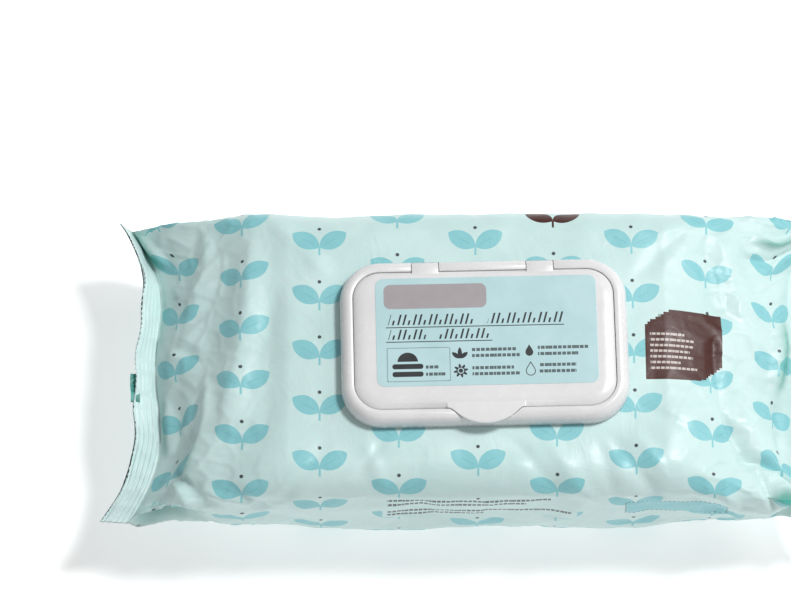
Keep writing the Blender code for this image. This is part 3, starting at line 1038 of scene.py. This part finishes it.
def surfaced(shader, colour, roughness, relief, distance):
    """Gives a shader its colour, its roughness, and its relief, whose height is in metres."""
    tree = colour.tree
    bump = tree.nodes.new("ShaderNodeBump")
    bump.inputs["Distance"].default_value = distance
    tree.links.new(relief.socket, bump.inputs["Height"])
    tree.links.new(bump.outputs["Normal"], shader.inputs["Normal"])
    tree.links.new(colour.socket, shader.inputs["Base Color"])
    tree.links.new(roughness.socket, shader.inputs["Roughness"])


def mottled(name, colours, cloud, cover, gloss, relief):
    """A plain material: clouds of a second colour over the first, uneven gloss and a fine relief.

    The cloud is a scale and a detail, and the cover is the noise between which the second colour comes in,
    and how full it gets. The gloss is a scale, the least roughness and the greatest. The relief is a
    scale, a detail and a height.
    """
    material, tree, shader = new_material(name)
    place = own_coordinates(tree)
    colour = painted(colours[0], (colours[1], grain(place, *cloud).ranged(*cover)))
    scale, detail, height = relief
    surfaced(shader, colour, uneven(place, *gloss), grain(place, scale, detail), height)
    return material


MINT = (0.560, 0.745, 0.730)
MINT_PALE = (0.630, 0.800, 0.785)
AQUA = (0.250, 0.575, 0.615)
AQUA_DARK = (0.150, 0.450, 0.490)
# painted shade in the film's tucks and deepest folds
FOLD_SHADE_TEAL = (0.030, 0.330, 0.250)
BROWN = (0.066, 0.020, 0.015)
INK = (0.022, 0.024, 0.028)
SEAL_PALE = (0.660, 0.830, 0.815)
# painted shade colours for tightly folded film
SHADED_FILM_DARK, SHADED_FILM_PALE = (0.035, 0.230, 0.190), (0.090, 0.390, 0.350)
PATCH_PRINT = (0.62, 0.56, 0.52)
LABEL_AQUA, LABEL_PALE = (0.445, 0.645, 0.668), (0.480, 0.680, 0.705)
PILL_GREY = (0.365, 0.335, 0.350)
GLUE_DARK, GLUE_PALE = (0.72, 0.68, 0.58), (0.84, 0.81, 0.73)

# Sizes of the print, in millimetres along and around the film. A field is its left, right, low and high
# edges.
MOTIF_PITCH_X = 26.0
MOTIF_PITCH_Y = 19.4
PATCH = (55.8, 82.8, -12.2, 12.6)
PATCH_STEP = 0.9
LONG_PATCH = (49.0, 82.0, -69.5, -60.0)
CLEAR_FIELD = (-31.5, 33.0, -72.0, -55.6)  # left free of sprouts for the lines of print
BROWN_FIELD = (13.0, 39.0, 42.0, 66.0)  # where the sprouts are brown

# Lines of small print on the label: left end, right end and height, in millimetres from its middle
LABEL_LINES = (
    *((-20.4, -16.2, -12.4), (-20.4, -14.0, -14.9)),
    *((-5.1, 9.4, -6.6), (-5.1, 10.6, -8.7), (-5.1, 8.6, -13.0), (-5.1, 10.6, -15.1)),
    *((16.6, 33.2, -6.3), (16.6, 29.9, -8.5), (16.9, 29.1, -12.4), (16.9, 29.1, -14.6)),
)


def sprouts(u, v):
    """A print of two-leaved sprouts in staggered rows: their leaves, the leaves' veins and their buds."""
    column = (u / MOTIF_PITCH_X + 0.5).floor()
    shift = (column * 0.5).maths("FRACT") * MOTIF_PITCH_Y
    x = u.wrapped(MOTIF_PITCH_X)
    y = (v + shift).wrapped(MOTIF_PITCH_Y)
    leaf_x, leaf_y = turned(abs(x), y + 3.6, 30)
    leaves = leaf(leaf_x, leaf_y, 10.4, 6.2)
    stem = rectangle(x, y, -0.35, 0.35, -6.6, -3.2, 0.3)
    vein = abs(leaf_y) + (leaf_x - 6.2).most(0.0) + (2.0 - leaf_x).most(0.0) - 0.16
    bud = disc(x, y, 0.0, 3.4, 0.62)
    return leaves.least(stem).ink(0.09), vein.ink(0.1), bud.ink(0.09)


def small_print(x, y, left, right, middle, half, phase):
    """A line of small print, as a row of dashes of uneven length."""
    row = rectangle(x, y, left, right, middle - half, middle + half)
    beat = (x * 4.3 + phase).sine() + (x * 7.9 + phase * 2.0).sine() * 0.8
    return row.ink(0.05) * beat.ranged(-1.1, -0.8)


def clipped_patch(x, y):
    """A dark printed patch whose two opposite corners are cut in small steps."""
    left, right, low, high = PATCH
    stair_x, stair_y = ((place / PATCH_STEP).floor() * PATCH_STEP for place in (x, y))
    upper_cut = (stair_y - high + 5.6) * 1.55 - (stair_x - left)
    lower_cut = (stair_x - right + 7.6) * 0.75 - (stair_y - low)
    return rectangle(x, y, *PATCH).most(upper_cut).most(lower_cut).ink(0.06)


def patch_lines(x, y):
    """Seven short pale lines on the dark patch."""
    ends = (69.2, 72.6, 72.4, 70.9, 72.0, 67.6, 73.4)
    return together(small_print(x, y, 57.4, end, 3.8 - 2.0 * k, 0.42, 1.3 * k) for k, end in enumerate(ends))


def front_lines(x, y):
    """Two blocks of small print on the front face."""
    lines = ((24, -57.5), (16, -60.6), (31, -66.5), (2, -69.6))
    return together(small_print(x, y, -30, end, line, 0.75, 0.7 * k) for k, (end, line) in enumerate(lines))


def dotted_patch(x, y):
    """A long patch on the front face, and its dotted outline."""
    shape = rectangle(x, y, *LONG_PATCH, 0.6)
    outline = (abs(shape) - 0.22).ink(0.05)
    dots = ((x + y) * 4.2).sine().ranged(-0.2, 0.1)
    return shape.ink(0.05), outline * dots


def film_material(seal_start):
    """The printed film. Its seals, which begin at a length along it, are paler and hardly printed."""
    material, tree, shader = new_material("film_print")
    film_map = tree.nodes.new("ShaderNodeUVMap")
    film_map.uv_map = "Film"
    # the painted shade of the tucks and deep folds, read from the mesh
    tuck = tree.nodes.new("ShaderNodeAttribute")
    tuck.attribute_name = "FoldShade"
    u, v, _ = millimetres(Field(tree, film_map.outputs[0]))
    place = own_coordinates(tree)
    leaves, veins, buds = sprouts(u, v)
    patch = clipped_patch(u, v)
    long_patch, dots = dotted_patch(u, v)
    clear = rectangle(u, v, *CLEAR_FIELD).ink(0.4)
    in_seal = (abs(u) - seal_start / MM).ranged(-1.0, 0.4)
    shown = (leaves * (1.0 - clear) * (1.0 - in_seal * 0.72)).most(0.0)
    colour = painted(
        MINT,
        (MINT_PALE, grain(place, 38.0).ranged(0.42, 0.62, 0.0, 0.5)),
        (AQUA, shown),
        (AQUA_DARK, shown * veins * 0.5),
        (BROWN, shown * rectangle(u, v, *BROWN_FIELD).ink(0.5)),
        (INK, buds * (1.0 - clear) * (1.0 - in_seal) * 0.92),
        (AQUA, long_patch * 0.9),
        (INK, dots * 0.8),
        (INK, front_lines(u, v) * 0.85),
        (BROWN, patch),
        (PATCH_PRINT, patch * patch_lines(u, v) * 0.85),
        (SEAL_PALE, in_seal * 0.75),
        # painted shade in the tucks and deep folds
        (FOLD_SHADE_TEAL, Field(tree, tuck.outputs["Fac"]) * 0.8),
    )
    crinkle = grain(place, 70.0, 5.0, 0.55, 0.6)
    relief = (1.0 - abs(crinkle - 0.5) * 2.0) * 0.8 + grain(place, 900.0, 2.0) * 0.05
    wear = grain(place, 120.0, 4.0, 0.6).ranged(0.3, 0.7, 0.33, 0.46)
    surfaced(shader, colour, wear, relief, 0.3 * MM)
    set_inputs(shader, {"Specular IOR Level": 0.3, "Coat Weight": 0.05, "Coat Roughness": 0.25})
    translucent(shader, 0.1, (0.4, 1.0, 0.85), 1.2 * MM)
    return material


def shaded_film_material():
    """Film that is folded so tight that it shows a deeper colour, painted dark teal as shade."""
    cloud, cover, gloss, relief = (500.0, 3.0), (0.4, 0.65), (200.0, 0.35, 0.5), (900.0, 2.0, 0.06 * MM)
    return mottled("shaded_fold_film", (SHADED_FILM_DARK, SHADED_FILM_PALE), cloud, cover, gloss, relief)


def seal_material():
    """Crimped film: paler than the rest, and unprinted."""
    cloud, cover, gloss = (160.0, 3.0), (0.4, 0.65, 0.0, 0.7), (90.0, 0.3, 0.45)
    return mottled("crimped_film", (SEAL_PALE, MINT), cloud, cover, gloss, (700.0, 2.0, 0.05 * MM))


def white_plastic(name):
    """Moulded polypropylene: faintly mottled, satin, with a trace of flow in its gloss."""
    material, tree, shader = new_material(name)
    place = own_coordinates(tree)
    cloud = grain(place, 55.0)
    specks = grain(place, 1500.0, 1.0).ranged(0.74, 0.80, 0.0, 0.12)
    layers = ((0.770, 0.765, 0.772), cloud.ranged(0.35, 0.65)), ((0.68, 0.67, 0.67), specks)
    relief = grain(place, 1200.0, 2.0) * 0.3 + cloud
    colour = painted((0.730, 0.722, 0.730), *layers)
    surfaced(shader, colour, uneven(place, 240.0, 0.2, 0.3, 4.0), relief, 0.012 * MM)
    translucent(shader, 0.15, (1.0, 0.95, 0.9), 1.5 * MM)
    return material


def heading(x, y, left, right, low, high, gap):
    """A heading as slanted ticks with a gap between its two words, and the rule under it."""
    lean = x - (y - low) * 0.28
    tick = abs(lean.wrapped(1.72)) - 0.32
    short = (abs(lean.wrapped(5.16)) - 0.9).most(low + (high - low) * 0.45 - y)
    row = rectangle(lean, y, left, right, low, high)
    parted = rectangle(lean, y, gap[0], gap[1], low - 1, high + 1)
    text = tick.most(row).most(0.0 - short.least(1.0)).most(0.0 - parted)
    rule = rectangle(x, y, left - 0.7, right + 0.6, low - 1.0, low - 0.68)
    return text.least(rule).ink(0.07)


def folded_stack(x, y):
    """A pictogram of two folded layers with a wipe drawn up out of them."""
    shape = rectangle(x, y, -31.4, -21.2, -15.7, -13.9, 0.8)
    shape = shape.least(rectangle(x, y, -31.4, -21.2, -13.0, -11.2, 0.8))
    drawn_up = disc(x, y, -26.3, -10.6, 3.4).most(-10.4 - y)
    return shape.least(drawn_up)


def flower(x, y, middle_x, middle_y):
    """A round flower with eight petals and an open heart."""
    away_x, away_y = x - middle_x, y - middle_y
    radius = length_of(away_x, away_y)
    angle = away_y.maths("ARCTAN2", away_x)
    petals = radius - 1.9 - (angle * 8.0).sine() * 0.55
    return petals.most(abs(radius - 0.9) * -1.0 + 0.16)


def drop(x, y, middle_x, middle_y, radius):
    """A drop: a disc with a point drawn out above it."""
    away_x, away_y = abs(x - middle_x), y - middle_y
    point = ((away_y - radius * 2.1) * 0.5 + away_x * 0.86).most(0.0 - away_y).most(away_x - radius * 0.86)
    return disc(away_x, away_y, 0.0, 0.0, radius).least(point)


def label_material():
    """The label's print: a pill, two headings, four pictures and ten lines of small print."""
    material, tree, shader = new_material("label_print")
    place = own_coordinates(tree)
    x, y, _ = millimetres(place, (LABEL_LOW + LABEL_HIGH) / 2)
    pill = rectangle(x, y, -33.8, 0.2, 8.2, 16.8, 2.2).ink(0.07)
    outline = (abs(rectangle(x, y, -33.0, -12.4, -17.3, -5.6)) - 0.13).ink(0.05)
    sprig_x, sprig_y = turned(abs(x + 9.1), y + 9.6, 40)
    sprig = leaf(sprig_x, sprig_y, 3.4, 1.5).least(leaf(y + 9.6, x + 9.1, 4.0, 1.4))
    marks = [
        heading(x, y, -32.6, 25.0, 2.5, 6.2, (-3.9, 0.2)),
        heading(x, y, -32.6, 1.2, -2.6, 0.9, (-20.4, -16.0)),
        outline * ((x + y) * 7.0).sine().ranged(-0.3, 0.0),
        folded_stack(x, y).ink(0.07),
        sprig.ink(0.06),
        flower(x, y, -8.9, -13.9).ink(0.06),
        drop(x, y, 13.8, -7.9, 1.3).ink(0.06),
        (abs(drop(x, y, 14.1, -14.5, 1.5)) - 0.14).ink(0.06),
    ]
    for k, (left, right, line) in enumerate(LABEL_LINES):
        marks.append(small_print(x, y, left, right, line, 0.55, 0.9 * k) * 0.85)
    cloud = grain(place, 60.0).ranged(0.4, 0.6)
    colour = painted(LABEL_AQUA, (LABEL_PALE, cloud), (PILL_GREY, pill), (INK, together(marks)))
    surfaced(shader, colour, uneven(place, 300.0, 0.3, 0.4), grain(place, 500.0, 2.0), 0.02 * MM)
    return material


def glue_material():
    """Hot-melt glue: cloudy, with small bubbles."""
    cloud, cover, gloss, relief = (400.0, 4.0), (0.4, 0.6), (300.0, 0.3, 0.5), (600.0, 3.0, 0.05 * MM)
    return mottled("hot_melt", (GLUE_DARK, GLUE_PALE), cloud, cover, gloss, relief)


def peel_material():
    """The glossy peel-off seal, with a paler border and a grip of fine lines on its pull tab."""
    material, tree, shader = new_material("peel_print")
    place = own_coordinates(tree)
    x, y, _ = millimetres(place, (PEEL_LOW + PEEL_HIGH) / 2)
    half_x, half_y = (PEEL_HIGH[:2] - PEEL_LOW[:2]) / 2 / MM
    edge = half_y - 1.6
    field = rectangle(x, y, 1.6 - half_x, half_x - 7.6, -edge, edge, edge - 0.8)
    rim = (abs(field + 1.4) - 0.25).ink(0.08)
    grip = (x * 5.0).sine().ranged(-0.2, 0.2)
    grip = grip * rectangle(x, y, half_x - 4.6, half_x - 1.2, -4.0, 4.0).ink(0.1)
    layers = ((0.36, 0.66, 0.70), field.ink(0.1)), ((0.60, 0.82, 0.82), rim), (AQUA, grip)
    surface = uneven(place, 200.0, 0.16, 0.28), grain(place, 150.0, 4.0)
    surfaced(shader, painted(SEAL_PALE, *layers), *surface, 0.12 * MM)
    return material


def repaint(node, material):
    """Gives a CAD node that stays its finer material."""
    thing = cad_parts[node]
    for slot in thing.material_slots:
        slot.material = material


# ---- Stage ----

VIEW_DISTANCE = 1.72
VIEW_WIDTH = 0.2637  # what the picture takes in from side to side at the pack's top
VIEW_ELEVATION = 69.0
VIEW_TURN = 1.28  # degrees that the pack is turned to the left of the camera
VIEW_AIM = Vector((-0.0264, 0.0203, 0.050))


def make_camera():
    camera = bpy.data.cameras.new("Camera")
    camera.sensor_width = 36.0
    camera.lens = camera.sensor_width * VIEW_DISTANCE / VIEW_WIDTH
    camera.clip_end = 20.0
    eye = bpy.data.objects.new("Camera", camera)
    turn = Euler((math.radians(90 - VIEW_ELEVATION), 0.0, math.radians(-VIEW_TURN)))
    eye.rotation_euler = turn
    eye.location = VIEW_AIM + turn.to_matrix() @ Vector((0.0, 0.0, VIEW_DISTANCE))
    bpy.context.collection.objects.link(eye)
    bpy.context.scene.camera = eye


def make_floor():
    builder = bmesh.new()
    bmesh.ops.create_grid(builder, x_segments=4, y_segments=4, size=4.0)
    floor = thing_from(builder, "floor")
    material, _, shader = new_material("floor_paper")
    set_inputs(shader, {"Base Color": (0.88, 0.88, 0.88, 1.0), "Roughness": 0.9, "Specular IOR Level": 0.1})
    set_inputs(shader, {"Emission Color": (1.0, 1.0, 1.0, 1.0), "Emission Strength": 0.42})
    floor.data.materials.append(material)


def soft_light(name, direction, distance, width, power):
    """A square lamp that looks at the pack from a direction."""
    lamp = bpy.data.lights.new(name, "AREA")
    lamp.size = width
    lamp.energy = power
    holder = bpy.data.objects.new(name, lamp)
    place = Vector(direction).normalized() * distance
    holder.location = place
    holder.rotation_euler = place.to_track_quat("Z", "Y").to_euler()
    bpy.context.collection.objects.link(holder)


def make_lights():
    soft_light("key", (0.46, 0.22, 1.0), 1.5, 0.26, 15.0)
    soft_light("side", (1.0, 0.42, 0.85), 1.6, 0.7, 4.5)
    soft_light("front", (-0.2, -1.0, 0.75), 1.7, 1.2, 3.5)
    world = bpy.data.worlds.new("studio")
    world.use_nodes = True
    background = world.node_tree.nodes["Background"]
    set_inputs(background, {"Color": (1.0, 1.0, 1.0, 1.0), "Strength": 0.26})
    bpy.context.scene.world = world
    bpy.context.scene.view_settings.view_transform = "Standard"


make_camera()
make_floor()
make_lights()
make_film()
make_back_seal()
make_seal_end()
make_frame()
make_lid()
make_label()
repaint("adhesive_ring", glue_material())
repaint("peel_seal", peel_material())
